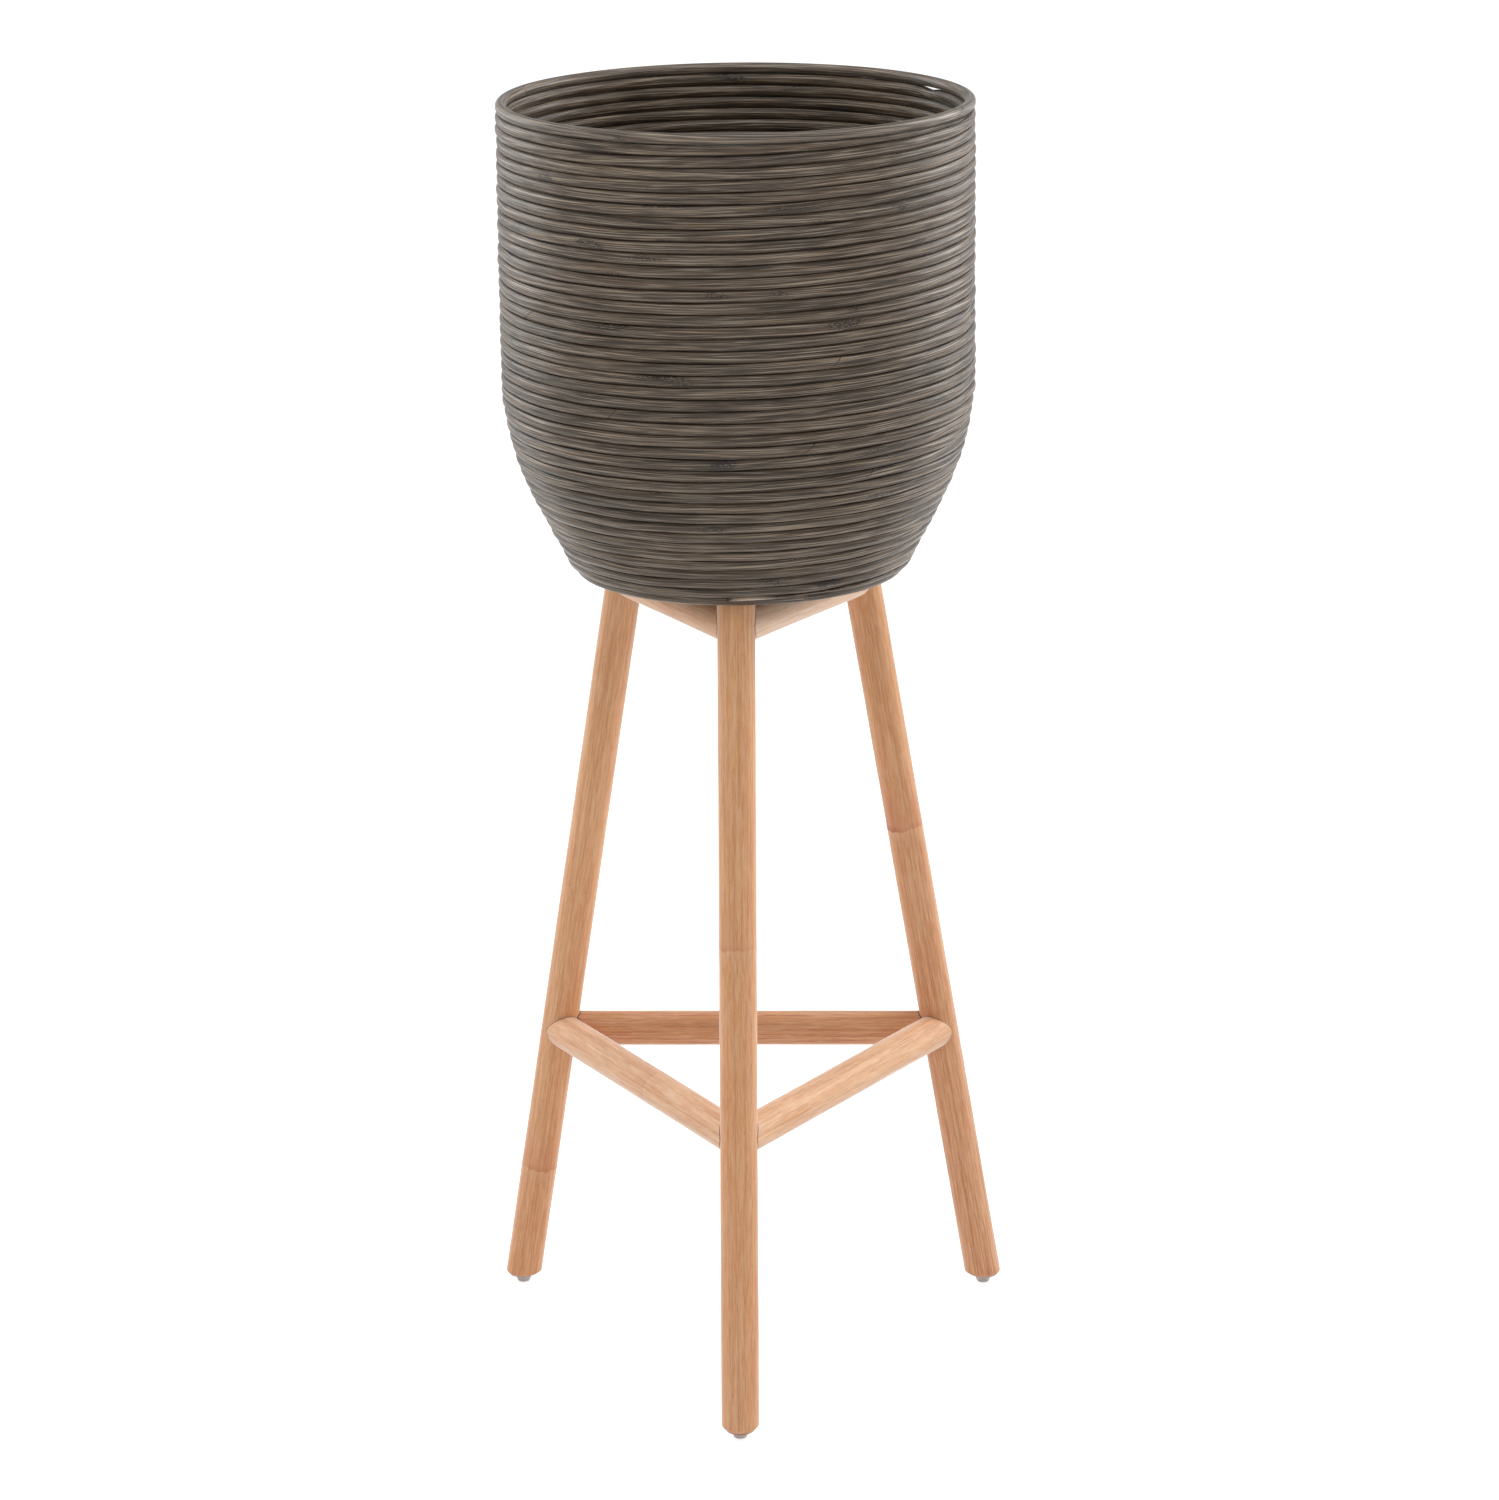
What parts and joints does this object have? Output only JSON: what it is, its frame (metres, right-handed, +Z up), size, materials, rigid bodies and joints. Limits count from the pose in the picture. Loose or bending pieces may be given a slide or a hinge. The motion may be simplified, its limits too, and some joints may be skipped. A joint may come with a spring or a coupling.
{
  "type": "standing planter",
  "caption": "Round tapered planter basket wound from one rattan rod, on a stand of splayed poles braced by an upper and a lower triangle of stretchers.",
  "frame": {"origin": "on the floor under the middle of the basket", "axes": "+Z up along the axis of the basket, -Y towards the front leg, +X to the right seen from the front"},
  "size_m": [0.3926, 0.3996, 0.9608],
  "materials": {
    "stained_rattan": "grey-brown stained rattan core, satin, with fine lengthwise fibres",
    "stained_board": "plywood stained to match the basket, matt",
    "pole_wood": "light tan rattan pole under clear satin lacquer",
    "dowel_wood": "plain beech dowel",
    "plated_steel": "zinc-plated screw and nail steel",
    "glide_plastic": "grey translucent moulded glide"
  },
  "bodies": {
    "root": {"rim_ring": "stained_rattan", "wall_coil": "stained_rattan", "base_ring": "stained_rattan", "base_board": "stained_board", "leg_front": "pole_wood", "leg_left": "pole_wood", "leg_right": "pole_wood", "upper_stretcher_left": "pole_wood", "upper_stretcher_right": "pole_wood", "upper_stretcher_rear": "pole_wood", "lower_stretcher_left": "pole_wood", "lower_stretcher_right": "pole_wood", "lower_stretcher_rear": "pole_wood", "dowel_upper_left_front": "dowel_wood", "dowel_upper_left_rear": "dowel_wood", "dowel_upper_right_front": "dowel_wood", "dowel_upper_right_rear": "dowel_wood", "dowel_upper_rear_left": "dowel_wood", "dowel_upper_rear_right": "dowel_wood", "dowel_lower_left_front": "dowel_wood", "dowel_lower_left_rear": "dowel_wood", "dowel_lower_right_front": "dowel_wood", "dowel_lower_right_rear": "dowel_wood", "dowel_lower_rear_left": "dowel_wood", "dowel_lower_rear_right": "dowel_wood", "base_screw_front": "plated_steel", "base_screw_left": "plated_steel", "base_screw_right": "plated_steel", "glide_front": "glide_plastic", "glide_left": "glide_plastic", "glide_right": "glide_plastic", "glide_nail_front": "plated_steel", "glide_nail_left": "plated_steel", "glide_nail_right": "plated_steel"}
  },
  "joints": []
}
